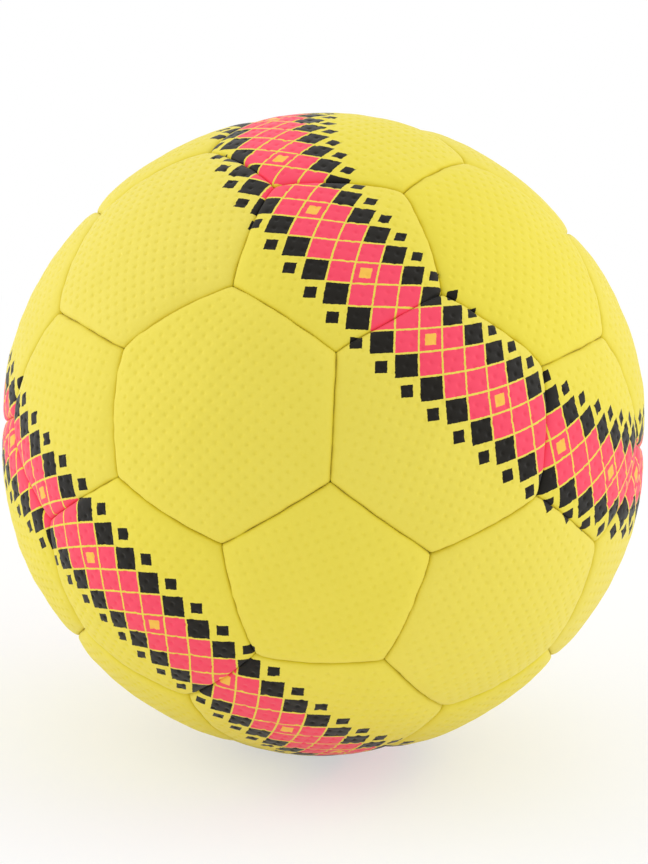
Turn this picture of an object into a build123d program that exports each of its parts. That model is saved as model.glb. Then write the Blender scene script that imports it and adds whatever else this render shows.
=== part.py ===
from build123d import *
import os
from math import atan, atan2, cos, degrees, floor, pi, radians, sin, sqrt, tan

# A hand-stitched ball of 20 hexagon and 12 pentagon panels. Each panel is a skin with its rims
# turned in, a foam pad and a textile lining. Threads through the rims close the seams, and a
# bladder with a needle valve fills the inside. The origin is the ball's centre, +Z is up through
# the middle of a hexagon, and the ball rests on the opposite hexagon.

# The ball, over the crowns of two opposite hexagons, and how far a crown stands above its seams
ball_diameter = 188.0
crown_rise = 0.9

# The layers of a panel, from the outside
skin_thickness = 1.3
foam_thickness = 2.6
lining_thickness = 1.2
glue_line = 0.05

# The radius about which the skin turns down into its rim, and how much rounder its corners are
skin_fold_radius = 0.8
corner_ease = 0.6

# The seams: the rim that stands below the lining, and the stitches through it
seam_allowance = 3.6
stitch_height_share = 0.45
stitch_pitch = 5.0
stitch_end_margin = 4.5
thread_diameter = 0.9
thread_clearance = 0.05

# The bladder
bladder_wall = 1.0
bladder_clearance = 0.1

# The valve's core, which pulls out of its housing, and the duct in it for the needle
needle_radius = 0.9
needle_depth = 12.0
core_wall = 0.8
core_tip = 4.0
core_head_lip = 0.5
core_head_height = 1.2
core_clearance = 0.05
core_end_gap = 0.5

# The housing: a nose in the skin, a neck in the foam and lining, a flange on the bladder and a
# stem inside it
nose_wall = 0.75
nose_height = 1.0
neck_shoulder = 1.5
flange_width = 7.5
flange_thickness = 1.6
stem_wall = 2.25
stem_floor = 1.5
air_hole_radius = 0.6
housing_clearance = 0.1

# Where the valve is, as a direction from the ball's centre: at the back, to the left and high
valve_direction_shares = (-1.0, 1.0, 0.5)

# Cuts run past the faces that they pass through by this much
overrun = 1.0

hexagon_sides = 6
pentagon_sides = 5
signs = (1, -1)
golden = (1 + sqrt(5)) / 2

# Angles at the ball's centre: from a hexagon's middle to its seams, from a hexagon's middle to a
# pentagon's, from a pentagon's middle to its seams, and from a seam's middle to its ends
hexagon_half_angle = degrees(atan(1 / golden**2))
hexagon_to_pentagon = Vector(1, 1, 1).get_angle(Vector(golden, 1, 0))
pentagon_half_angle = hexagon_to_pentagon - hexagon_half_angle
seam_half_angle = degrees(atan(sin(radians(hexagon_half_angle)) * tan(pi / hexagon_sides)))

# Radii about the ball's centre
ball_radius = ball_diameter / 2
seam_radius = ball_radius - crown_rise
foam_inset = skin_thickness + glue_line
foam_inner_inset = foam_inset + foam_thickness
lining_inset = foam_inner_inset + glue_line
lining_inner_inset = lining_inset + lining_thickness
rim_radius = seam_radius - lining_inner_inset - seam_allowance
stitch_radius = rim_radius + seam_allowance * stitch_height_share
bladder_radius = rim_radius - bladder_clearance

# Outside radii of the skin, along its seams and at its corners
shoulder_radius = skin_fold_radius + skin_thickness
corner_radius = shoulder_radius + corner_ease

# The crown of every panel has one radius, which gives the hexagon its rise
hexagon_cosine = cos(radians(hexagon_half_angle))
crown_radius = (ball_radius**2 - 2 * ball_radius * seam_radius * hexagon_cosine + seam_radius**2) / (
    2 * (ball_radius - seam_radius * hexagon_cosine)
)

# The stitches of one seam
stitch_run = 2 * radians(seam_half_angle) * stitch_radius - 2 * stitch_end_margin
stitch_count = floor(stitch_run / stitch_pitch) + 1
stitch_span = degrees((stitch_count - 1) * stitch_pitch / stitch_radius)
stitch_angles = (-stitch_span / 2, stitch_span)
stitch_hole_radius = thread_diameter / 2 + thread_clearance

# Radii of the valve's pieces
core_radius = needle_radius + core_wall
core_head_radius = core_radius + core_head_lip
nose_radius = core_head_radius + core_clearance + nose_wall
neck_radius = nose_radius + neck_shoulder
flange_radius = neck_radius + flange_width
stem_radius = core_radius + core_clearance + stem_wall

# A sphere is turned so that its poles lie away from the panel that it shapes
poles_aside = (90, 0, 0)


def lying(direction):
    """A direction of the ball's own pattern, turned so that a hexagon is at the bottom."""
    return direction.normalized().rotate(Axis.X, -hexagon_half_angle)


def from_the_top(direction):
    """The order of the panels' numbers: from the top down, and around from the front."""
    return -round(direction.Z, 3), round(degrees(atan2(direction.X, -direction.Y)), 1) % 360


def nearest(directions, target):
    """The direction of a list that points most nearly to the target."""
    return min(directions, key=lambda direction: direction.get_angle(target))


def towards(direction, target, angle):
    """The plane through the ball's centre at this angle from a direction to a target.

    Its x points outwards in the plane, and its z to the target.
    """
    across = (target - direction * direction.dot(target)).normalized()
    turn = radians(angle)
    return Plane(
        origin=(0, 0, 0),
        x_dir=direction * cos(turn) + across * sin(turn),
        z_dir=across * cos(turn) - direction * sin(turn),
    )


def panel_plane(direction, neighbours):
    """A panel's own frame: z through its middle, and x towards the middle of one of its seams."""
    neighbour = nearest(neighbours, direction)
    x_dir = neighbour - direction * direction.dot(neighbour)
    return Plane(origin=(0, 0, 0), x_dir=x_dir, z_dir=direction)


def side_plane(half_angle, azimuth, inset):
    """A panel's side in the panel's own frame: a seam's plane, moved inwards by the inset."""
    turn = radians(half_angle)
    outward = Vector(cos(turn), 0, -sin(turn)).rotate(Axis.Z, azimuth)
    to_seam = Vector(sin(turn), 0, cos(turn)).rotate(Axis.Z, azimuth)
    return Plane(origin=outward * -inset, x_dir=to_seam, z_dir=outward)


def crown_centre(half_angle):
    """The height of a crown's centre, so that the crown meets its seams at the seam radius."""
    turn = radians(half_angle)
    return seam_radius * cos(turn) - sqrt(crown_radius**2 - (seam_radius * sin(turn)) ** 2)


def panel_block(sides, half_angle, side_inset, crown_inset, floor_radius):
    """A panel's block: a crown over sides that point to the ball's centre."""
    with BuildPart() as block:
        with Locations((0, 0, crown_centre(half_angle))):
            Sphere(crown_radius - crown_inset, rotation=poles_aside)
        for side in range(sides):
            split(bisect_by=side_plane(half_angle, side * 360 / sides, side_inset), keep=Keep.BOTTOM)
        Sphere(floor_radius, rotation=poles_aside, mode=Mode.SUBTRACT)
    return block.part


def stitch_punch(sides, half_angle):
    """The pins that punch the stitch holes through a panel's rims."""
    with BuildPart() as punch:
        for side in range(sides):
            with BuildSketch(side_plane(half_angle, side * 360 / sides, -overrun)):
                with PolarLocations(stitch_radius, stitch_count, *stitch_angles, endpoint=True):
                    Circle(stitch_hole_radius)
        extrude(amount=-(overrun + skin_thickness + overrun))
    return punch.part


def skin_panel(sides, half_angle):
    """The outer skin of a panel, a pan whose rims meet the neighbours' rims."""
    outside = panel_block(sides, half_angle, 0, 0, rim_radius)
    inside = panel_block(sides, half_angle, skin_thickness, skin_thickness, rim_radius - overrun)
    punch = stitch_punch(sides, half_angle)
    with BuildPart() as skin:
        add(outside)
        fillet(skin.edges().filter_by(GeomType.LINE), corner_radius)
        fillet(skin.faces().sort_by(Axis.Z)[-1].edges(), shoulder_radius)
        add(inside, mode=Mode.SUBTRACT)
        add(punch, mode=Mode.SUBTRACT)
    return skin.part


def panel_layer(sides, half_angle, outer_inset, inner_inset):
    """A layer inside a panel's skin, between two insets from the crown."""
    block = panel_block(sides, half_angle, foam_inset, outer_inset, rim_radius)
    with BuildPart() as layer:
        add(block)
        with Locations((0, 0, crown_centre(half_angle))):
            Sphere(crown_radius - inner_inset, rotation=poles_aside, mode=Mode.SUBTRACT)
    return layer.part


def pierced(panel, hole_radius):
    """A panel's layer with the valve's hole through its middle."""
    with BuildPart() as layer:
        add(panel)
        Cylinder(hole_radius, ball_diameter, mode=Mode.SUBTRACT)
    return layer.part


def seam_stitch():
    """The stitching of one seam: a thread along each side, joined through the holes."""
    with BuildPart() as stitch:
        for side in signs:
            with BuildSketch(Plane.XY.offset(side * skin_thickness)):
                SlotArc(CenterArc((0, 0), stitch_radius, *stitch_angles), thread_diameter)
            extrude(amount=side * thread_diameter)
        with BuildSketch():
            with PolarLocations(stitch_radius, stitch_count, *stitch_angles, endpoint=True):
                Circle(thread_diameter / 2)
        extrude(amount=skin_thickness, both=True)
    return stitch.part


def write(part, name):
    """Labels a finished piece and writes it."""
    part.label = name
    export_step(part, f"parts/{name}.step")


os.makedirs("parts", exist_ok=True)

# The panels' directions: the pentagons lie on the corners of an icosahedron, and the hexagons on
# the middles of its faces
pentagons = []
hexagons = []
for first in signs:
    for second in signs:
        pentagons.append(lying(Vector(0, first * golden, second)))
        pentagons.append(lying(Vector(first, 0, second * golden)))
        pentagons.append(lying(Vector(first * golden, second, 0)))
        hexagons.append(lying(Vector(first / golden, second * golden, 0)))
        hexagons.append(lying(Vector(0, first / golden, second * golden)))
        hexagons.append(lying(Vector(first * golden, 0, second / golden)))
        for third in signs:
            hexagons.append(lying(Vector(first, second, third)))
pentagons.sort(key=from_the_top)
hexagons.sort(key=from_the_top)

hexagon_planes = [panel_plane(direction, pentagons) for direction in hexagons]
pentagon_planes = [panel_plane(direction, hexagons) for direction in pentagons]
valve_plane = hexagon_planes[hexagons.index(nearest(hexagons, Vector(*valve_direction_shares)))]
plain_hexagon_planes = [plane for plane in hexagon_planes if plane is not valve_plane]

# The seams: a plane through the ball's centre between each two neighbours, whose middles are
# nearer to each other than those of any other two panels
neighbour_angle = 3 * hexagon_half_angle
seam_planes = []
for number, direction in enumerate(hexagons):
    for other in hexagons[number + 1:] + pentagons:
        if direction.get_angle(other) < neighbour_angle:
            seam_planes.append(towards(direction, other, hexagon_half_angle))

# Skins, one node for each panel
hexagon_skin = skin_panel(hexagon_sides, hexagon_half_angle)
pentagon_skin = skin_panel(pentagon_sides, pentagon_half_angle)
valve_skin = pierced(hexagon_skin, nose_radius + housing_clearance)
for number, plane in enumerate(hexagon_planes, start=1):
    with BuildPart(plane) as hexagon_panel:
        add(valve_skin if plane is valve_plane else hexagon_skin)
    write(hexagon_panel.part, f"hexagon_panel_{number:02d}")
for number, plane in enumerate(pentagon_planes, start=1):
    with BuildPart(plane) as pentagon_panel:
        add(pentagon_skin)
    write(pentagon_panel.part, f"pentagon_panel_{number:02d}")

# Foam pads and linings, one node for each kind of panel
for layer_name, outer_inset, inner_inset in (
    ("foam", foam_inset, foam_inner_inset),
    ("lining", lining_inset, lining_inner_inset),
):
    hexagon_layer = panel_layer(hexagon_sides, hexagon_half_angle, outer_inset, inner_inset)
    valve_layer = pierced(hexagon_layer, neck_radius + housing_clearance)
    pentagon_layer = panel_layer(pentagon_sides, pentagon_half_angle, outer_inset, inner_inset)
    with BuildPart() as hexagon_layers:
        with Locations(*plain_hexagon_planes):
            add(hexagon_layer)
        with Locations(valve_plane):
            add(valve_layer)
    write(hexagon_layers.part, f"{layer_name}_hexagons")
    with BuildPart() as pentagon_layers:
        with Locations(*pentagon_planes):
            add(pentagon_layer)
    write(pentagon_layers.part, f"{layer_name}_pentagons")

# The stitching of all the seams
one_stitch = seam_stitch()
with BuildPart() as seam_thread:
    with Locations(*seam_planes):
        add(one_stitch)
write(seam_thread.part, "seam_thread")

# Heights of the valve's pieces along its axis, from the ball's centre. The neck ends under the
# skin, and the nose goes on into the skin's hole
skin_underside = crown_radius - skin_thickness
neck_top = crown_centre(hexagon_half_angle) + sqrt(skin_underside**2 - neck_radius**2) - glue_line
nose_top = neck_top + nose_height
flange_seat = bladder_radius + glue_line
core_length = needle_depth + core_tip
core_bottom = nose_top - core_length
bore_bottom = core_bottom - core_end_gap
stem_bottom = bore_bottom - stem_floor
head_seat = nose_top - core_head_height - core_clearance

with BuildPart() as flange:
    Sphere(flange_seat + flange_thickness, rotation=poles_aside)
    Sphere(flange_seat, rotation=poles_aside, mode=Mode.SUBTRACT)
    with BuildSketch():
        Circle(flange_radius)
    extrude(amount=ball_radius, mode=Mode.INTERSECT)

with BuildPart() as housing:
    add(flange.part)
    with BuildSketch(Plane.XY.offset(stem_bottom)):
        Circle(stem_radius)
    extrude(amount=flange_seat - stem_bottom)
    with BuildSketch(Plane.XY.offset(flange_seat)):
        Circle(neck_radius)
    extrude(amount=neck_top - flange_seat)
    with BuildSketch(Plane.XY.offset(neck_top)):
        Circle(nose_radius)
    extrude(amount=nose_top - neck_top)
    with BuildSketch(Plane.XY.offset(head_seat)):
        Circle(core_head_radius + core_clearance)
    extrude(amount=nose_top - head_seat, mode=Mode.SUBTRACT)
    with BuildSketch(Plane.XY.offset(bore_bottom)):
        Circle(core_radius + core_clearance)
    extrude(amount=head_seat - bore_bottom, mode=Mode.SUBTRACT)
    with BuildSketch(Plane.XY.offset(stem_bottom)):
        Circle(air_hole_radius)
    extrude(amount=bore_bottom - stem_bottom, mode=Mode.SUBTRACT)

with BuildPart() as core:
    with BuildSketch(Plane.XY.offset(core_bottom)):
        Circle(core_radius)
    extrude(amount=core_length)
    with BuildSketch(Plane.XY.offset(nose_top)):
        Circle(core_head_radius)
    extrude(amount=-core_head_height)
    with BuildSketch(Plane.XY.offset(nose_top)):
        Circle(needle_radius)
    extrude(amount=-needle_depth, mode=Mode.SUBTRACT)

with BuildPart() as bladder_shell:
    Sphere(bladder_radius, rotation=poles_aside)
    Sphere(bladder_radius - bladder_wall, rotation=poles_aside, mode=Mode.SUBTRACT)
    with BuildSketch():
        Circle(stem_radius + housing_clearance)
    extrude(amount=ball_radius, mode=Mode.SUBTRACT)

for name, piece in (
    ("bladder", bladder_shell),
    ("valve_housing", housing),
    ("valve_core", core),
):
    with BuildPart(valve_plane) as placed:
        add(piece.part)
    write(placed.part, name)

print("valve axis", *(f"{share:.9f}" for share in valve_plane.z_dir), "needle's mouth at", nose_top)
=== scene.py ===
import math

import bpy
import numpy as np
from mathutils import Matrix, Vector
from mathutils.geometry import delaunay_2d_cdt


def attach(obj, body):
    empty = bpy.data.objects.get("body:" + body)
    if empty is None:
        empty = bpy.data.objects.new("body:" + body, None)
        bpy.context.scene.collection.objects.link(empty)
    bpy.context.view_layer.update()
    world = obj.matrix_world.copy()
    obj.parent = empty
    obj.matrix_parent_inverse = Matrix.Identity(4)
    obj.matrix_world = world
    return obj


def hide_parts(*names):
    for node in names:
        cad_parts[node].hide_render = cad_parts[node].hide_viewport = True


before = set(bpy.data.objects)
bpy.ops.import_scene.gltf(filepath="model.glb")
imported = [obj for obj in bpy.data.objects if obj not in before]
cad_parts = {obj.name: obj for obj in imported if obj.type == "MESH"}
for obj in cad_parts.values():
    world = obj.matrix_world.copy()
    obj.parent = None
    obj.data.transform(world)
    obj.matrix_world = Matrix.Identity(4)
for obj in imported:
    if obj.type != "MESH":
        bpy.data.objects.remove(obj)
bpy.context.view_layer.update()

# Sizes of the ball, in millimetres, the same as in the part's source
mm = 0.001
ball_radius = 94.0
seam_radius = 93.1
rim_radius = 84.3
skin_thickness = 1.3
valve_hole_radius = 3.1
valve_panel = "hexagon_panel_08"

# Sizes of the skin's finish, in millimetres
corner_radius = 1.0
rim_thickness = 0.8
crease_drop = 0.75
crease_reach = 0.28
crease_change_share = 0.6
shoulder_drop = 0.9
shoulder_reach = 2.0
roll_share = 0.35
proud_lift = 0.65
proud_reach = 4.0
pucker_depth = 0.08
pucker_reach = 2.4
stitch_pitch = 5.0
dimple_pitch = 3.3
dimple_radius = 1.05
dimple_depth = 0.31
dimple_start = 1.9
dimple_full = 3.9
hole_edge_radius = 0.5
hole_clear_share = 2.0
wander_size = 0.16
wander_waves = (12.0, 40.0)
tug_size = 0.08
tug_waves = (4.5, 10.0)
wave_count = 36
valve_calm = (5.0, 20.0)
# Painted shade: how far from the seams the skin's colour is darkened, and how much the dimples are
# darkened
crease_shade_reach = 0.3
pit_shade_share = 0.08

# How fine the skins' meshes are, in millimetres, counts and shares
outline_step = 1.1
corner_steps = 4
border_insets = (0.1, 0.24, 0.42, 0.7, 1.2, 2.0, 3.0)
border_clear_share = 1.3
bowl_shares = (0.3, 0.58, 0.82, 1.1)
bowl_steps = 8
hole_steps = 48
hole_round_shares = (0.1, 0.3, 0.6, 1.0, 2.0)
ceiling_steps = 5
ceiling_pitch = ball_radius / 12
ceiling_clear_share = 1.5
panel_reach = ball_radius / 2
block_size = 100
least_area = 1e-9

# Seeds of what is drawn at random
dye_seed = 5
wander_seed = 7
tug_seed = 8
crease_seed = 11

# The panel pattern: 20 hexagons and 12 pentagons, a hexagon on top
golden = (1 + math.sqrt(5)) / 2
hexagon_half_angle = math.atan(1 / golden**2)
hexagon_to_pentagon = math.acos(golden**2 / math.sqrt((golden**2 + 1) * 3))
half_angles = {6: hexagon_half_angle, 5: hexagon_to_pentagon - hexagon_half_angle}
lattice_turns = {6: math.radians(13), 5: math.radians(6)}
other_kind = {6: 5, 5: 6}
# A panel's first seam is the one to the neighbour that lies farthest this way
first_seam_way = (0.1, 0.2, 1)
neighbour_slack = 0.001
# By how many sides a panel was turned when it was sewn in, for the panels in front
sewn_turns = {
    "hexagon_panel_02": 0,
    "hexagon_panel_04": 1,
    "hexagon_panel_05": 2,
    "hexagon_panel_10": 1,
    "pentagon_panel_01": 1,
    "pentagon_panel_07": 2,
}
# How far the first panel's edge stands proud of the second's, 1 at the most
proud_edge_shares = {
    ("hexagon_panel_10", "hexagon_panel_05"): 1.0,
    ("hexagon_panel_10", "hexagon_panel_04"): 1.0,
    ("hexagon_panel_10", "pentagon_panel_06"): 1.0,
    ("hexagon_panel_10", "pentagon_panel_01"): 0.8,
    ("hexagon_panel_10", "hexagon_panel_16"): 0.0,
    ("hexagon_panel_05", "pentagon_panel_01"): 0.5,
    ("hexagon_panel_05", "hexagon_panel_02"): 0.8,
    ("hexagon_panel_05", "pentagon_panel_04"): 0.5,
    ("hexagon_panel_05", "hexagon_panel_11"): 0.2,
    ("pentagon_panel_07", "hexagon_panel_05"): 1.0,
    ("pentagon_panel_07", "hexagon_panel_10"): 0.8,
    ("pentagon_panel_07", "hexagon_panel_11"): 1.0,
    ("pentagon_panel_07", "hexagon_panel_16"): 0.5,
    ("pentagon_panel_01", "hexagon_panel_02"): 0.8,
    ("pentagon_panel_01", "hexagon_panel_04"): 0.8,
    ("hexagon_panel_04", "pentagon_panel_06"): 0.5,
    ("hexagon_panel_16", "pentagon_panel_06"): 0.5,
}
# How far the other edges stand proud or low at the most
proud_draw_share = 0.6
# How pale each front panel's dye is, from 0 to 1
dye_shares = {
    "hexagon_panel_01": 0.2,
    "hexagon_panel_02": 0.0,
    "hexagon_panel_04": 1.0,
    "hexagon_panel_05": 0.75,
    "hexagon_panel_09": 1.0,
    "hexagon_panel_10": 0.65,
    "hexagon_panel_11": 0.8,
    "hexagon_panel_12": 1.0,
    "hexagon_panel_15": 0.2,
    "hexagon_panel_16": 0.25,
    "pentagon_panel_01": 0.4,
}
# How pale the other panels' dye is, from the least to the most
dye_draw_shares = (0.3, 0.8)
# How deep a front panel's dimples are, where they aren't as deep as the others
pressed_shares = {
    "hexagon_panel_04": 1.2,
    "hexagon_panel_10": 1.08,
    "pentagon_panel_07": 0.95,
}


def signed(*sizes):
    """Every change of sign of the three sizes."""
    found = {()}
    for size in sizes:
        found = {(*start, sign * size) for start in found for sign in (1, -1)}
    return sorted(found)


def turned_up(points):
    """Unit directions, tipped so that a hexagon's middle is on top."""
    points = np.array(points) / np.linalg.norm(points, axis=1)[:, None]
    c, s = math.cos(hexagon_half_angle), math.sin(hexagon_half_angle)
    return points @ np.array([[1, 0, 0], [0, c, -s], [0, s, c]])


# The directions of the panels' middles, by the panels' count of sides
directions = {
    5: turned_up(signed(0, golden, 1) + signed(1, 0, golden) + signed(golden, 1, 0)),
    6: turned_up(
        signed(1 / golden, golden, 0)
        + signed(0, 1 / golden, golden)
        + signed(golden, 0, 1 / golden)
        + signed(1, 1, 1)
    ),
}


def side_count(node):
    """The count of sides of the panel that a CAD node is."""
    return 6 if node.startswith("hexagon") else 5


def node_axis(node):
    """The direction of the panel that a CAD node is."""
    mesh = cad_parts[node].data
    places = np.empty(len(mesh.vertices) * 3)
    mesh.vertices.foreach_get("co", places)
    ways = directions[side_count(node)]
    return ways[(ways @ places.reshape(-1, 3).mean(0)).argmax()]


panels = sorted(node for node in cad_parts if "_panel_" in node)
panel_ways = {node: node_axis(node) for node in panels}
valve_axis = panel_ways[valve_panel]

# The crowns: spheres smaller than the ball, through the seams and the hexagons' middles
seam_cosine = math.cos(hexagon_half_angle)
hexagon_crown_centre = (ball_radius**2 - seam_radius**2) / (
    2 * (ball_radius - seam_radius * seam_cosine)
)
crown_radius = ball_radius - hexagon_crown_centre


def smooth(low, high, value):
    """0 below low, 1 above high, and an even curve between."""
    t = np.clip((value - low) / (high - low), 0, 1)
    return t * t * (3 - 2 * t)


def lifted(flat):
    """Directions, in a panel's own axes, of points on its flat cut."""
    reach = np.hypot(flat[:, 0], flat[:, 1])
    spread = np.sinc(reach / ball_radius / math.pi) / ball_radius
    return np.column_stack([flat * spread[:, None], np.cos(reach / ball_radius)])


def flattened(ways):
    """Points on a panel's flat cut for directions in its own axes."""
    angle = np.arccos(np.clip(ways[:, 2], -1, 1))
    return ways[:, :2] / np.sinc(angle / math.pi)[:, None] * ball_radius


class Cut:
    """The outline of one kind of panel, with straight seams and rounded corners."""

    def __init__(self, sides):
        self.sides, tilt = sides, half_angles[sides]
        self.turn = 2 * math.pi / sides * np.arange(sides)
        sine, cosine = math.sin(tilt), math.cos(tilt)
        east, north = np.cos(self.turn), np.sin(self.turn)
        flat = np.ones(sides)
        self.outward = np.column_stack([cosine * east, cosine * north, -sine * flat])
        self.middle = np.column_stack([sine * east, sine * north, cosine * flat])
        self.along = np.column_stack([-north, east, 0 * flat])
        side_cosine = cosine * math.cos(math.pi / sides)
        self.reach = math.hypot(sine, side_cosine)
        self.lean = math.atan2(side_cosine, sine)
        self.foot, self.pivots = self.corners(corner_radius)
        self.crown_centre = seam_radius * cosine - math.sqrt(
            crown_radius**2 - (seam_radius * sine) ** 2
        )

    def corners(self, inset):
        """How far the sides run at this inset, and where they meet."""
        angle = math.acos(math.sin(inset / ball_radius) / self.reach) - self.lean
        turn = self.turn + math.pi / self.sides
        meet = np.column_stack(
            [
                math.sin(angle) * np.cos(turn),
                math.sin(angle) * np.sin(turn),
                math.cos(angle) * np.ones(self.sides),
            ]
        )
        return math.atan2(meet[0] @ self.along[0], meet[0] @ self.middle[0]), meet

    def row(self, inset):
        """Directions along a line inside the outline, with as many points at any small inset."""
        foot, meet = self.corners(max(inset, corner_radius))
        steps = max(2, round(2 * foot * ball_radius / outline_step))
        run = np.linspace(-foot, foot, steps + 1)[:, None]
        arc = (max(inset, corner_radius) - inset) / ball_radius
        lean = inset / ball_radius
        found = []
        for k in range(self.sides):
            level = np.cos(run) * self.middle[k] + np.sin(run) * self.along[k]
            found.append(level * math.cos(lean) - self.outward[k] * math.sin(lean))
            if arc:
                ends = [self.outward[k], self.outward[(k + 1) % self.sides]]
                ends = [end - (end @ meet[k]) * meet[k] for end in ends]
                ends = [end / np.linalg.norm(end) for end in ends]
                sweep = math.acos(ends[0] @ ends[1])
                share = np.linspace(0, 1, corner_steps + 1)[1:-1, None] * sweep
                swung = np.sin(sweep - share) * ends[0] + np.sin(share) * ends[1]
                swung /= math.sin(sweep)
                found.append(meet[k] * math.cos(arc) + swung * math.sin(arc))
            else:
                found[-1] = found[-1][:-1]
        return np.concatenate(found)

    def from_seam(self, ways):
        """The distance of directions from the outline, and their place along the nearest seam."""
        depth = ball_radius * np.arcsin(np.clip(-ways @ self.outward.T, -1, 1))
        near = depth.argmin(1)
        place = np.arctan2(
            (ways * self.along[near]).sum(1), (ways * self.middle[near]).sum(1)
        )
        pivot = self.pivots[(near - (place < 0)) % self.sides]
        bend = np.arccos(np.clip((ways * pivot).sum(1), -1, 1))
        rounded = corner_radius - ball_radius * bend
        depth = np.where(np.abs(place) > self.foot, rounded, depth.min(1))
        return np.maximum(depth, 0), place * ball_radius

    def depths(self, ways):
        """The distance of directions from each seam of the outline."""
        depth = ball_radius * np.arcsin(np.clip(-ways @ self.outward.T, -1, 1))
        return np.maximum(depth, 0)

    def crown(self, ways):
        """The radius of the smooth crown in these directions."""
        side = self.crown_centre**2 * (1 - ways[:, 2] ** 2)
        return self.crown_centre * ways[:, 2] + np.sqrt(crown_radius**2 - side)


def square_grid(count, pitch):
    """Points of a square grid, so many steps to each side of its middle."""
    steps = np.arange(-count, count + 1) * pitch
    return np.stack(np.meshgrid(steps, steps), -1).reshape(-1, 2)


class Dimples:
    """The square lattice of dimples that is pressed into one panel's skin."""

    def __init__(self, cut, sewn, pressed, seed, hole):
        draws = np.random.default_rng(seed)
        turn = lattice_turns[cut.sides] + sewn * 2 * math.pi / cut.sides
        c, s = math.cos(turn), math.sin(turn)
        self.cut, self.deepest, self.hole = cut, dimple_depth * pressed, hole
        self.axes = np.array([[c, s], [-s, c]])
        self.start = draws.uniform(-0.5, 0.5, 2) * dimple_pitch

    def sites(self):
        """The middles of the dimples that are clear of the seams."""
        grid = square_grid(math.ceil(panel_reach / dimple_pitch), dimple_pitch)
        grid = grid @ self.axes + self.start
        return grid[self.strength(grid) > 0]

    def strength(self, middles):
        """How much of its depth each dimple has: less near a seam, none near the hole."""
        depth = self.cut.from_seam(lifted(middles))[0]
        reach = np.hypot(middles[:, 0], middles[:, 1])
        kept = (reach < panel_reach) & (reach > self.hole * hole_clear_share)
        return kept * smooth(dimple_start, dimple_full, depth)

    def depth(self, flat):
        """How far the skin is pressed in at points on the flat cut."""
        cells = np.round((flat - self.start) @ self.axes.T / dimple_pitch)
        middles = cells * dimple_pitch @ self.axes + self.start
        off = np.linalg.norm(flat - middles, axis=1) / dimple_radius
        bowl = np.clip(1 - off**2, 0, 1) ** 2
        return self.deepest * self.strength(middles) * bowl


def rings(middles, radii, steps):
    """Points on circles round each middle, every other circle turned by half a step."""
    found = [middles]
    for n, radius in enumerate(radii):
        turn = (np.arange(steps) + n % 2 / 2) * 2 * math.pi / steps
        circle = radius * np.column_stack([np.cos(turn), np.sin(turn)])
        found.append((middles[:, None] + circle[None]).reshape(-1, 2))
    return np.concatenate(found)


def hole_rings(radii):
    """Points on circles round the valve's hole, in the middle of its panel."""
    return rings(np.zeros((1, 2)), radii, hole_steps)[1:]


def clear_of(points, middles, gap):
    """The points that lie no nearer to a middle than the gap."""
    near = np.full(len(points), np.inf)
    for block in np.array_split(middles, max(1, len(middles) // block_size)):
        off = np.linalg.norm(points[:, None] - block[None], axis=2)
        near = np.minimum(near, off.min(1, initial=np.inf))
    return points[near > gap]


def triangles(flat, hole):
    """Triangles between points on a flat cut, anticlockwise, with the hole left open."""
    found = delaunay_2d_cdt([Vector(p) for p in flat.tolist()], [], [], 0, least_area)
    origin = np.array([o[0] for o in found[3]])
    faces = origin[np.array(found[2])]
    a, b, c = (flat[faces[:, n]] for n in range(3))
    area = (b - a)[:, 0] * (c - a)[:, 1] - (b - a)[:, 1] * (c - a)[:, 0]
    faces = np.where((area < 0)[:, None], faces[:, ::-1], faces)
    reach = np.linalg.norm((a + b + c) / 3, axis=1)
    kept = (np.abs(area) > least_area) & (reach > hole * math.cos(math.pi / hole_steps))
    return faces[kept]


def strip(outer, inner):
    """Four-sided faces between two loops of as many points."""
    after = np.roll(outer, -1), np.roll(inner, -1)
    return np.column_stack([outer, inner, after[1], after[0]])


def drift(places, seed, lengths):
    """A smooth shift of each place, about 1 long, the same for all pieces that meet there."""
    draws = np.random.default_rng(seed)
    shift = np.zeros_like(places)
    for wave in np.linspace(*lengths, wave_count):
        way, push = draws.normal(size=(2, 3))
        turn = places @ way / np.linalg.norm(way) * 2 * math.pi / wave
        push = push / np.linalg.norm(push) * math.sqrt(2 / wave_count)
        shift += np.sin(turn + draws.uniform(0, 2 * math.pi))[:, None] * push
    return shift


def wandered(places):
    """The places, shifted as sewing by hand shifts them, but for those by the valve."""
    calm = np.linalg.norm(np.cross(places, valve_axis), axis=1)
    calm = np.where(places @ valve_axis > 0, smooth(*valve_calm, calm), 1)
    shift = drift(places, wander_seed, wander_waves) * wander_size
    shift += drift(places, tug_seed, tug_waves) * tug_size
    return places + shift * calm[:, None]


def panel_axes(axis, others):
    """A panel's own axes: z out of the ball, x to the middle of its first seam."""
    lean = others @ axis
    near = others[lean > lean.max() - neighbour_slack]
    across = near[(near @ first_seam_way).argmax()]
    across = across - (across @ axis) * axis
    across /= np.linalg.norm(across)
    return np.array([across, np.cross(axis, across), axis])


def proud_shares(node, cut, axes):
    """How far each edge of a panel stands proud of its neighbour's, from -1 to 1."""
    shares = []
    for way in cut.middle @ axes:
        pair = sorted(panels, key=lambda other: -panel_ways[other] @ way)[:2]
        pair = tuple(sorted(pair))
        draws = np.random.default_rng([panels.index(panel) for panel in pair])
        share = draws.uniform(-proud_draw_share, proud_draw_share)
        share = proud_edge_shares.get(pair, -proud_edge_shares.get(pair[::-1], -share))
        shares.append(share if node == pair[0] else -share)
    return np.array(shares)


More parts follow.
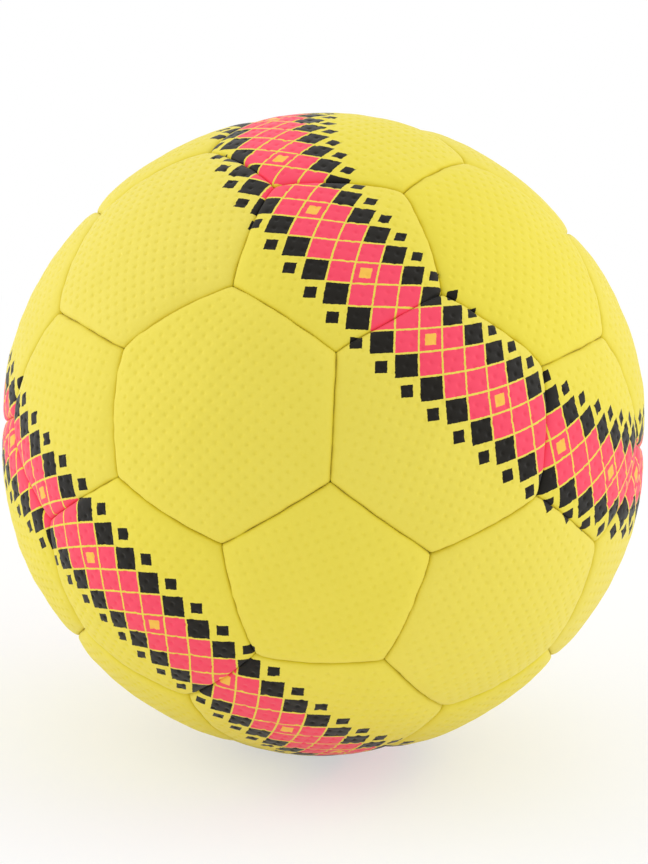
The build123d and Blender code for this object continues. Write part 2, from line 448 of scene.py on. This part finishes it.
def seam_drop(cut, ways, axes, proud):
    """How far the seams pull the skin below its crown: crease, shoulder, step and puckers."""
    depth, place = cut.from_seam(ways)
    change = drift(ways * ball_radius @ axes, crease_seed, tug_waves)[:, 0]
    crease = crease_drop * (1 + crease_change_share * change)
    drop = crease * np.exp(-depth / crease_reach)
    depths = cut.depths(ways)
    drop += np.exp(-depths / shoulder_reach) @ (shoulder_drop * (1 + roll_share * proud))
    near = np.exp(-depths / proud_reach)
    drop -= near**2 @ (proud_lift * proud) / near.sum(1)
    pull = 0.5 + 0.5 * np.cos(2 * math.pi * place / stitch_pitch)
    return drop + pucker_depth * pull * np.exp(-((depth / pucker_reach) ** 2))


def hole_drop(flat, hole):
    """How far the rounded edge of the valve's hole lies below the skin."""
    rim = hole + hole_edge_radius - np.linalg.norm(flat, axis=1)
    rim = np.clip(rim, 0, hole_edge_radius)
    return hole_edge_radius - np.sqrt(hole_edge_radius**2 - rim**2)


def skin_ceiling(cut, fold, lip, hole):
    """The skin's face towards the foam: points on the flat cut, and their places."""
    grid = square_grid(ceiling_steps, ceiling_pitch)
    grid = grid[cut.from_seam(lifted(grid))[0] > 2 * skin_thickness]
    grid = grid[np.linalg.norm(grid, axis=1) > hole * ceiling_clear_share]
    flat = np.concatenate([flattened(fold), grid, lip])
    ways = lifted(flat)
    low = np.where(np.arange(len(flat)) < len(fold), shoulder_drop, 0)
    return flat, ways * (cut.crown(ways) - skin_thickness - low)[:, None]


def skin_mesh(name, cut, axes, proud, sewn, pressed, dye, seed, hole):
    """A panel's skin: crowned and dimpled outside, turned in at the seams, open below."""
    dimples = Dimples(cut, sewn, pressed, seed, hole)
    sites = dimples.sites()
    edge, fold = cut.row(0), cut.row(rim_thickness)
    border = np.concatenate([flattened(cut.row(inset)) for inset in border_insets])
    border = clear_of(border, sites, dimple_radius * border_clear_share)
    bowls = rings(sites, dimple_radius * np.array(bowl_shares), bowl_steps)
    parts = [flattened(edge), border, bowls]
    lip, lip_start = np.empty((0, 2)), sum(len(part) for part in parts)
    if hole:
        lip = hole_rings([hole])
        parts += [lip, hole_rings(hole + hole_edge_radius * np.array(hole_round_shares))]
    flat = np.concatenate(parts)
    ways = lifted(flat)
    pits = dimples.depth(flat)
    drop = seam_drop(cut, ways, axes, proud) + pits
    if hole:
        drop += hole_drop(flat, hole)
    outside = ways * (cut.crown(ways) - drop)[:, None]
    ceiling, inside = skin_ceiling(cut, fold, lip, hole)

    count, first = len(edge), len(outside)
    loop = np.arange(count)
    below = first + loop
    within = below + count
    above = within + count
    faces = [
        *triangles(flat, hole).tolist(),
        *strip(loop, below).tolist(),
        *strip(below, within).tolist(),
        *strip(within, above).tolist(),
        *(triangles(ceiling, hole)[:, ::-1] + above[0]).tolist(),
    ]
    if hole:
        mouth = np.arange(hole_steps)
        inner = above[0] + len(ceiling) - hole_steps + mouth
        faces += strip(lip_start + mouth, inner)[:, ::-1].tolist()
    places = np.concatenate([outside, edge * rim_radius, fold * rim_radius, inside])
    mesh = bpy.data.meshes.new(name)
    mesh.from_pydata((wandered(places @ axes) * mm).tolist(), [], faces)
    mesh.shade_smooth()

    # Painted shade: a darker colour in the creases and on the turned-in skin, and a little in the
    # dimples, where shade falls
    in_creases = np.exp(-cut.from_seam(ways)[0] / crease_shade_reach)
    painted_shade = np.ones(len(places))
    painted_shade[:first] = np.maximum(in_creases, pit_shade_share * pits / dimple_depth)
    for layer, values in (("painted_shade", painted_shade), ("dye", np.full(len(places), dye))):
        mesh.attributes.new(layer, "FLOAT", "POINT").data.foreach_set("value", values)
    return mesh


# Materials
class Paint:
    """One socket of a material's nodes. Sums on it add Math nodes."""

    def __init__(self, tree, socket=None):
        self.tree, self.socket = tree, socket

    def node(self, kind, settings=None, sockets=None, output=0):
        """A new node: its settings, then its sockets' values or links. Gives one of its outputs."""
        made = self.tree.nodes.new(kind)
        for name, value in (settings or {}).items():
            setattr(made, name, value)
        for name, value in (sockets or {}).items():
            if isinstance(value, Paint):
                self.tree.links.new(value.socket, made.inputs[name])
            else:
                made.inputs[name].default_value = value
        return Paint(self.tree, made.outputs[output] if made.outputs else None)

    def other(self, output):
        """Another output of the same node."""
        return Paint(self.tree, self.socket.node.outputs[output])

    def maths(self, operation, *values):
        """A Math node on these values."""
        return self.node("ShaderNodeMath", {"operation": operation}, dict(enumerate(values)))

    def vector(self, operation, *values, output=0):
        """A Vector Math node on these values."""
        return self.node(
            "ShaderNodeVectorMath", {"operation": operation}, dict(enumerate(values)), output
        )

    def mixed(self, share, first, second):
        """The first colour where the share is 0, and the second where it is 1."""
        return self.node(
            "ShaderNodeMix", {"data_type": "RGBA"}, {0: share, 6: first, 7: second}, 2
        )

    def __add__(self, other):
        return self.maths("ADD", self, other)

    def __radd__(self, other):
        return self.maths("ADD", other, self)

    def __sub__(self, other):
        return self.maths("SUBTRACT", self, other)

    def __rsub__(self, other):
        return self.maths("SUBTRACT", other, self)

    def __mul__(self, other):
        return self.maths("MULTIPLY", self, other)

    def __rmul__(self, other):
        return self.maths("MULTIPLY", other, self)

    def __mod__(self, other):
        return self.maths("FLOORED_MODULO", self, other)

    def __rmod__(self, other):
        return self.maths("FLOORED_MODULO", other, self)

    def __lt__(self, other):
        return self.maths("LESS_THAN", self, other)

    def __gt__(self, other):
        return self.maths("GREATER_THAN", self, other)

    def __abs__(self):
        return self.maths("ABSOLUTE", self)

    def __floor__(self):
        return self.maths("FLOOR", self)


def shade(red, green, blue):
    """A colour as a screen shows it, 0 to 255, in the linear numbers that nodes take."""
    found = []
    for part in (red, green, blue):
        part /= 255
        found.append(part / 12.92 if part <= 0.04045 else ((part + 0.055) / 1.055) ** 2.4)
    return (*found, 1.0)


def new_finish(name, **sockets):
    """A material with an empty Principled shader: the material, its paint and the shader."""
    material = bpy.data.materials.new(name)
    material.use_nodes = True
    tree = material.node_tree
    shader = tree.nodes["Principled BSDF"]
    for socket, value in sockets.items():
        shader.inputs[socket.replace("_", " ")].default_value = value
    return material, Paint(tree), shader


def feed(paint, shader, **sockets):
    """Link what changes over the surface to the shader's sockets."""
    for socket, value in sockets.items():
        paint.tree.links.new(value.socket, shader.inputs[socket.replace("_", " ")])


def grain(paint, place, grains, detail=3.0):
    """Fine noise of so many grains per metre."""
    return paint.node(
        "ShaderNodeTexNoise", None, {"Vector": place, "Scale": grains, "Detail": detail}
    )


def raised(paint, height, rise, strength=1.0):
    """A normal that stands up with the height, by the rise in millimetres."""
    sockets = {"Height": height, "Distance": rise * mm, "Strength": strength}
    return paint.node("ShaderNodeBump", None, sockets)


def seen(paint):
    """1 for what the camera sees, also in gloss or through glass, and 0 for other light."""
    ray = paint.node("ShaderNodeLightPath", output="Is Camera Ray")
    found = paint.maths("MAXIMUM", ray, ray.other("Is Glossy Ray"))
    return paint.maths("MAXIMUM", found, ray.other("Is Transmission Ray"))


# The print: two bands of lozenges round a tipped axis, sizes in millimetres
band_tilt = math.radians(40)
band_axis = (math.sin(band_tilt), 0, math.cos(band_tilt))
band_east = (math.cos(band_tilt), 0, -math.sin(band_tilt))
band_north = (0, 1, 0)
band_latitude = math.radians(38)
lozenge_count = 52
lozenge_length = 2 * math.pi * ball_radius * math.cos(band_latitude) / lozenge_count
lozenge_width = 11.0
lozenge_gap_share = 0.04
lozenge_heart_share = 0.24
fray_width = 0.4
fray_offset = (0.31, 0.17, 0.53)
# Rows are counted from 0 in the middle of a band
dark_row = 2
fringe_row = 3
gilt_every = 3

# The skin's colours, its grains per metre and its surface
deep_yellows = (shade(238, 222, 71), shade(244, 228, 81))
pale_yellows = (shade(238, 222, 92), shade(244, 228, 102))
speckle_yellow = shade(231, 212, 62)
# Painted shade: a deep olive yellow for the creases and the dimples
crease_shade_yellow = shade(219, 203, 4)
print_pinks = (shade(253, 73, 101), shade(255, 81, 109))
print_gold = shade(254, 198, 80)
print_black = shade(21, 17, 9)
fray_grains = 1400
cloud_grains = 45
speckle_grains = 900
leather_grains = 2600
speckle_share = 0.35
skin_roughness = 0.62
speckle_roughness = 0.16
print_polish = 0.1
leather_rise = 0.05
leather_strength = 0.5


def lozenge_masks(paint, place):
    """Where the print is, and where its dark rows and its gilt hearts are."""
    way = paint.vector("NORMALIZE", place)
    fray = grain(paint, place, fray_grains, 2.0)
    other_fray = grain(paint, paint.vector("ADD", place, fray_offset), fray_grains, 2.0)

    def lean(axis):
        return paint.vector("DOT_PRODUCT", way, axis, output=1)

    latitude = paint.maths("ARCSINE", lean(band_axis))
    longitude = paint.maths("ARCTAN2", lean(band_north), lean(band_east))
    run = longitude * (lozenge_count / (2 * math.pi))
    run = run + (fray - 0.5) * (fray_width / lozenge_length)
    across = (abs(latitude) - band_latitude) * (ball_radius / lozenge_width)
    across = across + (other_fray - 0.5) * (fray_width / lozenge_width)
    rising, falling = run + across, run - across
    up, down = math.floor(rising), math.floor(falling)
    row = abs(up - down)
    off = paint.maths("MAXIMUM", abs(rising - up - 0.5), abs(falling - down - 0.5))
    tile = off < 0.5 - lozenge_gap_share
    heart = off < lozenge_heart_share
    fringe = (row > fringe_row - 0.5) * (row < fringe_row + 0.5)
    inked = tile * (row < fringe_row - 0.5) + fringe * heart
    dark = row > dark_row - 0.5
    gilt = (up % gilt_every < 0.5) * (row < 0.5) * heart
    return inked, dark, gilt


def printed_skin():
    """Yellow dimpled leather with two bands of printed lozenges round the ball."""
    material, paint, shader = new_finish(
        "printed_skin", Specular_IOR_Level=0.16, Sheen_Weight=0.12, Sheen_Roughness=0.5
    )
    place = paint.node("ShaderNodeTexCoord", output="Object")
    cloudy = grain(paint, place, cloud_grains, 4.0)
    speckle = grain(paint, place, speckle_grains, 2.0)
    inked, dark, gilt = lozenge_masks(paint, place)

    def layer(name):
        return paint.node("ShaderNodeAttribute", {"attribute_name": name}, output="Fac")

    deep = paint.mixed(cloudy, *deep_yellows)
    pale = paint.mixed(cloudy, *pale_yellows)
    yellow = paint.mixed(layer("dye"), deep, pale)
    yellow = paint.mixed(speckle * speckle_share, yellow, speckle_yellow)
    # Painted shade in the creases and the dimples
    yellow = paint.mixed(layer("painted_shade"), yellow, crease_shade_yellow)
    ink = paint.mixed(gilt, paint.mixed(cloudy, *print_pinks), print_gold)
    ink = paint.mixed(dark, ink, print_black)
    leather = grain(paint, place, leather_grains)
    feed(
        paint,
        shader,
        Base_Color=paint.mixed(inked, yellow, ink),
        Roughness=skin_roughness - inked * print_polish + (speckle - 0.5) * speckle_roughness,
        Normal=raised(paint, leather, leather_rise, leather_strength),
    )
    return material


# What the finishes inside the ball have in common
inner_cloud_grains = 60
inner_cloud_share = 0.7
inner_roughness_change = 0.15
weave_scale_share = 0.1
weave_distortion = 0.4


def inner_finish(name, low, high, grains, roughness, rise, woven=False):
    """A plain matte finish with clouds of colour and a fine surface, or a weave."""
    material, paint, shader = new_finish(name, Specular_IOR_Level=0.3)
    place = paint.node("ShaderNodeTexCoord", output="Object")
    cloudy = grain(paint, place, inner_cloud_grains)

    def threads(direction):
        return paint.node(
            "ShaderNodeTexWave",
            {"wave_profile": "SIN", "bands_direction": direction},
            {
                "Vector": place,
                "Scale": grains * weave_scale_share,
                "Distortion": weave_distortion,
            },
            output=1,
        )

    height = threads("X") * threads("Z") if woven else grain(paint, place, grains)
    share = cloudy * inner_cloud_share + height * (1 - inner_cloud_share)
    feed(
        paint,
        shader,
        Base_Color=paint.mixed(share, low, high),
        Roughness=roughness + (height - 0.5) * inner_roughness_change,
        Normal=raised(paint, height, rise),
    )
    return material


def dress(finish, *nodes):
    """Give CAD nodes a finish in place of their own."""
    for node in nodes:
        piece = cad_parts[node]
        piece.data.materials.clear()
        piece.data.materials.append(finish)


# The pieces inside, which keep their CAD shapes
foam_nodes = ("foam_hexagons", "foam_pentagons")
foam = inner_finish(
    "white_foam",
    low=shade(225, 222, 212),
    high=shade(240, 238, 230),
    grains=1500,
    roughness=0.85,
    rise=0.08,
)
dress(foam, *foam_nodes)
lining = inner_finish(
    "woven_lining",
    low=shade(214, 210, 198),
    high=shade(236, 233, 224),
    grains=9000,
    roughness=0.9,
    rise=0.1,
    woven=True,
)
dress(lining, "lining_hexagons", "lining_pentagons")
thread = inner_finish(
    "waxed_thread",
    low=shade(205, 190, 110),
    high=shade(226, 212, 140),
    grains=14000,
    roughness=0.6,
    rise=0.08,
    woven=True,
)
dress(thread, "seam_thread")
bladder_rubber = inner_finish(
    "bladder_rubber",
    low=shade(30, 30, 31),
    high=shade(44, 43, 42),
    grains=700,
    roughness=0.45,
    rise=0.04,
)
dress(bladder_rubber, "bladder")
housing_rubber = inner_finish(
    "housing_rubber",
    low=shade(26, 26, 27),
    high=shade(40, 40, 40),
    grains=2200,
    roughness=0.55,
    rise=0.03,
)
dress(housing_rubber, "valve_housing")
core_rubber = inner_finish(
    "core_rubber",
    low=shade(34, 34, 36),
    high=shade(52, 52, 54),
    grains=2600,
    roughness=0.5,
    rise=0.03,
)
dress(core_rubber, "valve_core")

# The panels' skins, each in the place of its CAD node
scene = bpy.context.scene
skin = printed_skin()
cuts = {sides: Cut(sides) for sides in (6, 5)}
drawn_dyes = np.random.default_rng(dye_seed).uniform(*dye_draw_shares, len(panels))
for seed, node in enumerate(panels):
    sides = side_count(node)
    axes = panel_axes(panel_ways[node], directions[other_kind[sides]])
    name = node.replace("_panel_", "_skin_")
    mesh = skin_mesh(
        name,
        cuts[sides],
        axes,
        proud=proud_shares(node, cuts[sides], axes),
        sewn=sewn_turns.get(node, seed % sides),
        pressed=pressed_shares.get(node, 1.0),
        dye=dye_shares.get(node, drawn_dyes[seed]),
        seed=seed,
        hole=valve_hole_radius if node == valve_panel else 0.0,
    )
    mesh.materials.append(skin)
    piece = bpy.data.objects.new(name, mesh)
    scene.collection.objects.link(piece)
    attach(piece, "ball")
    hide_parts(node)

# The stage: a pale floor and soft light from all round, in metres and watts
white = (1.0, 1.0, 1.0, 1.0)
floor_half = 4.0
floor_height = -ball_radius * mm
floor_corners = [(-1, -1), (1, -1), (1, 1), (-1, 1)]
floor_greys = (0.975, 0.985)
floor_grains = 3
floor_white_shares = (0.55, 1.0)
floor_white_reach = (0.08, 0.45)
dome_strength = 0.795
lamp_size = 1.2
lamps = {
    "left_lamp": ((-1.5, 0.2, 0.6), 6.75),
    "right_lamp": ((1.5, 0.1, 0.7), 6.7),
    "top_lamp": ((0.1, 0.4, 1.6), 2.0),
}


def pale_floor():
    """A pale finish that shows the ball's shadow and goes to white farther off."""
    material, paint, shader = new_finish("pale_floor", Roughness=0.9, Specular_IOR_Level=0.0)
    place = paint.node("ShaderNodeTexCoord", output="Object")
    low, high = ((grey, grey, grey, 1.0) for grey in floor_greys)
    cloudy = grain(paint, place, floor_grains, 2.0)
    feed(paint, shader, Base_Color=paint.mixed(cloudy, low, high))
    whiteness = paint.node(
        "ShaderNodeMapRange",
        {"interpolation_type": "SMOOTHSTEP"},
        {
            "Value": paint.vector("LENGTH", place, output=1),
            "From Min": floor_white_reach[0],
            "From Max": floor_white_reach[1],
            "To Min": floor_white_shares[0],
            "To Max": floor_white_shares[1],
        },
    )
    matte = Paint(paint.tree, shader.outputs[0])
    glow = paint.node("ShaderNodeEmission", None, {"Color": white, "Strength": 1.0})
    factor = seen(paint) * whiteness
    surface = paint.node("ShaderNodeMixShader", None, {0: factor, 1: matte, 2: glow})
    output = paint.tree.nodes["Material Output"]
    paint.tree.links.new(surface.socket, output.inputs["Surface"])
    return material


def studio():
    """A world that lights the ball evenly, and that the camera sees as white."""
    world = bpy.data.worlds.new("studio")
    world.use_nodes = True
    world.node_tree.nodes.clear()
    sky = Paint(world.node_tree)
    dome = sky.node("ShaderNodeBackground", None, {"Color": white, "Strength": dome_strength})
    backdrop = sky.node("ShaderNodeBackground", None, {"Color": white, "Strength": 1.0})
    light = sky.node("ShaderNodeMixShader", None, {0: seen(sky), 1: dome, 2: backdrop})
    sky.node("ShaderNodeOutputWorld", None, {"Surface": light})
    return world


scene.view_settings.view_transform = "Standard"
scene.world = studio()
floor_mesh = bpy.data.meshes.new("floor")
floor_mesh.from_pydata(
    [(x * floor_half, y * floor_half, floor_height) for x, y in floor_corners],
    [],
    [range(len(floor_corners))],
)
floor_mesh.materials.append(pale_floor())
floor = bpy.data.objects.new("floor", floor_mesh)
scene.collection.objects.link(floor)
for name, (spot, power) in lamps.items():
    lamp = bpy.data.lights.new(name, "AREA")
    lamp.shape, lamp.size, lamp.energy = "DISK", lamp_size, power
    holder = bpy.data.objects.new(name, lamp)
    holder.location = spot
    holder.rotation_euler = (-Vector(spot)).to_track_quat("-Z", "Y").to_euler()
    scene.collection.objects.link(holder)

# The camera: a long lens from the front, a little above, tipped to the side as in the photo
view_azimuth = math.radians(-1.66)
view_elevation = math.radians(17.66)
view_roll = math.radians(2.95)
view_distance = 3.0
picture_height = 864
ball_radius_pixels = 323.5
view_offset_pixels = (0.7, 2.5)
sensor_height = 36.0
pixel = ball_radius * mm / ball_radius_pixels
back = Vector(
    (
        math.sin(view_azimuth) * math.cos(view_elevation),
        -math.cos(view_azimuth) * math.cos(view_elevation),
        math.sin(view_elevation),
    )
)
level = Vector((0, 0, 1)).cross(back).normalized()
upright = back.cross(level)
right = level * math.cos(view_roll) + upright * math.sin(view_roll)
top = back.cross(right)
offset = Vector(view_offset_pixels) * pixel
spot = back * view_distance + right * offset.x + top * offset.y
lens = bpy.data.cameras.new("camera")
lens.sensor_fit = "VERTICAL"
lens.sensor_height = sensor_height
lens.lens = sensor_height * view_distance / (picture_height * pixel)
camera = bpy.data.objects.new("camera", lens)
camera.matrix_world = Matrix.Translation(spot) @ Matrix((right, top, back)).transposed().to_4x4()
scene.collection.objects.link(camera)
scene.camera = camera
